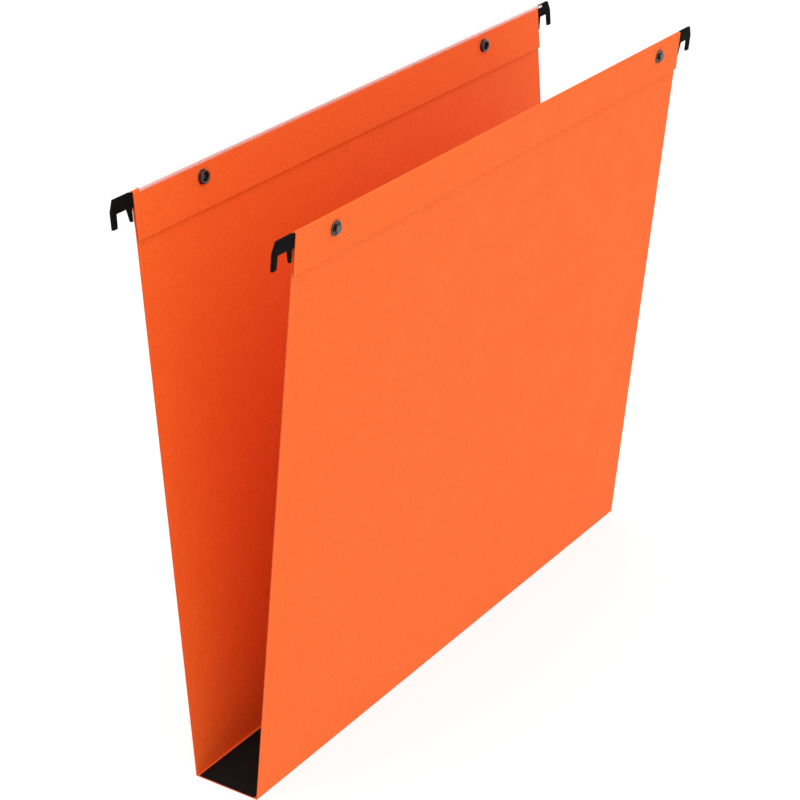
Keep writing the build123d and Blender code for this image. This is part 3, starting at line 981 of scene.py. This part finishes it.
class DressSnaps(bpy.types.Operator):
    """Make the press studs of the front hem and the sockets of the rear hem."""

    bl_idname = "folder.dress_snaps"
    bl_label = "Press studs"

    def execute(self, context):
        snap = context.scene.folder_snap
        metal = metal_finish("blackened_steel", snap.gunmetal, snap.patina)
        # The socket's spring takes the painted shade colour all over, as painted shade inside the bore
        wire = metal_finish("spring_wire", snap.patina, snap.patina)
        flange = snap.hem_face + snap.flange
        shapes = {
            FRONT: {
                "snap_stud": (stud_profile(snap), False, snap.hem_face + snap.dish + snap.rim),
                "snap_post": (post_profile(snap), True, -flange),
            },
            REAR: {
                "snap_socket": (socket_profile(snap), True, -snap.hem_face - snap.socket_height),
                "snap_eyelet": (eyelet_profile(snap), True, flange),
            },
        }
        for side, kinds in shapes.items():
            name = SIDE_NAMES[side]
            for end_name in ENDS:
                along, up = snap_place(side, end_name)
                for kind, (profile, closed, raised) in kinds.items():
                    points, faces = turned(profile, side, along, up, closed)
                    node = f"{name}_{end_name}_{kind}"
                    label = f"{kind}_{name}_{end_name}"
                    piece = add_piece(label, points, faces, f"{name}_panel", [metal], [node])
                    # Painted shade in the recesses and on the outer sides, stored as the recess attribute
                    self.darken(piece, profile, raised, snap.recess)
        for end_name in ENDS:
            finish_node(f"rear_{end_name}_snap_spring", wire)
        return {"FINISHED"}

    def darken(self, piece, profile, raised, depth):
        """Store the painted shade: how far each ring of points lies below the raised face, 0 at its level, 1 at
        the depth.

        The rings outside the raised face's own edge get a smaller share of this painted shade.
        """
        below = (abs(raised) - np.sign(raised) * profile[:, 1]) / depth
        edge = profile[below < LEVEL_REACH, 0].max()
        share = np.clip(below, 0, 1) * np.where(profile[:, 0] <= edge, 1, OUTSIDE_SHARE)
        share = np.repeat(share, len(piece.data.vertices) // len(profile))
        piece.data.attributes.new(RECESS_SHADE, "FLOAT", "POINT").data.foreach_set("value", share)


class DressIndex(bpy.types.Operator):
    """Finish the index strip and its paper label."""

    bl_idname = "folder.dress_index"
    bl_label = "Index strip"

    def execute(self, context):
        strip = context.scene.folder_strip
        crest = context.scene.folder_card.height
        finish_node("index_strip", strip_finish("milky_plastic", strip, crest))
        frame["nodes"]["index_strip"].visible_shadow = False
        finish_node("index_label", paper_finish("label_paper", strip.paper))
        return {"FINISHED"}


class SetStage(bpy.types.Operator):
    """Lay the floor, light the folder softly and place the camera."""

    bl_idname = "folder.set_stage"
    bl_label = "Stage"

    def execute(self, context):
        stage = context.scene.folder_stage
        context.scene.view_settings.view_transform = "Standard"
        self.lay_floor(stage)
        self.set_sky(context.scene, stage)
        self.hang_key(context.scene, stage)
        self.place_camera(context.scene, stage)
        return {"FINISHED"}

    def lay_floor(self, stage):
        """Square floor like a light table: white where nothing shades it, with a pale shadow."""
        half = stage.floor_half
        corners = np.array([(-half, -half), (half, -half), (half, half), (-half, half)])
        points = np.column_stack([corners, np.full(len(corners), -stage.floor_drop)])
        material, _, shader = new_material("white_floor")
        shader.inputs["Base Color"].default_value = (*stage.floor, 1)
        shader.inputs["Roughness"].default_value = FLOOR_ROUGHNESS
        shader.inputs["Specular IOR Level"].default_value = 0.0
        shader.inputs["Emission Color"].default_value = WHITE
        shader.inputs["Emission Strength"].default_value = stage.floor_glow
        floor = add_piece("floor", points, [[0, 1, 2, 3]], None, [material])

    def set_sky(self, scene, stage):
        """Even white light from all round."""
        world = bpy.data.worlds.new("studio")
        world.use_nodes = True
        light = world.node_tree.nodes["Background"]
        light.inputs["Color"].default_value = WHITE
        light.inputs["Strength"].default_value = stage.sky
        scene.world = world

    def hang_key(self, scene, stage):
        """Large square lamp above the folder, turned to its middle."""
        light = bpy.data.lights.new("key", "AREA")
        light.energy = stage.key
        light.size = stage.key_size
        lamp = bpy.data.objects.new("key", light)
        lamp.location = stage.key_place
        middle = (CAD_BOX[0] + CAD_BOX[1]) / 2
        lamp.rotation_euler = (middle - Vector(stage.key_place)).to_track_quat("-Z", "Y").to_euler()
        scene.collection.objects.link(lamp)

    def place_camera(self, scene, stage):
        """Camera with the view's azimuth, elevation, focal length and shift."""
        lens = bpy.data.cameras.new("view")
        lens.lens = stage.lens
        lens.shift_x = stage.shift_x
        lens.shift_y = stage.shift_y
        camera = bpy.data.objects.new("view", lens)
        camera.location = stage.camera_place
        back = Vector((
            sin(stage.azimuth) * cos(stage.elevation), -cos(stage.azimuth) * cos(stage.elevation),
            sin(stage.elevation),
        ))
        camera.rotation_euler = (-back).to_track_quat("-Z", "Y").to_euler()
        scene.collection.objects.link(camera)
        scene.camera = camera


class FolderPanel(bpy.types.Panel):
    """Sidebar panel with the folder's operators."""

    bl_idname = "FOLDER_PT_dress"
    bl_label = "Hanging file folder"
    bl_space_type = "VIEW_3D"
    bl_region_type = "UI"
    bl_category = "Folder"

    def draw(self, context):
        for operator in OPERATORS:
            self.layout.operator(operator.bl_idname)


SETTINGS = {
    "folder_card": CardSettings,
    "folder_liner": LinerSettings,
    "folder_hook": HookSettings,
    "folder_snap": SnapSettings,
    "folder_strip": StripSettings,
    "folder_stage": StageSettings,
}
OPERATORS = [DressCard, DressLiner, DressHangers, DressSnaps, DressIndex, SetStage]
CLASSES = [*SETTINGS.values(), *OPERATORS, FolderPanel]


def register():
    """Register the classes and hang the settings on the scene."""
    for made in CLASSES:
        bpy.utils.register_class(made)
    for name, made in SETTINGS.items():
        setattr(bpy.types.Scene, name, PointerProperty(type=made))


def unregister():
    """Take the settings off the scene and unregister the classes."""
    for name in SETTINGS:
        delattr(bpy.types.Scene, name)
    for made in reversed(CLASSES):
        bpy.utils.unregister_class(made)


def main():
    register()
    bpy.ops.folder.dress_card()
    bpy.ops.folder.dress_liner()
    bpy.ops.folder.dress_hangers()
    bpy.ops.folder.dress_snaps()
    bpy.ops.folder.dress_index()
    bpy.ops.folder.set_stage()


if __name__ == "__main__":
    main()
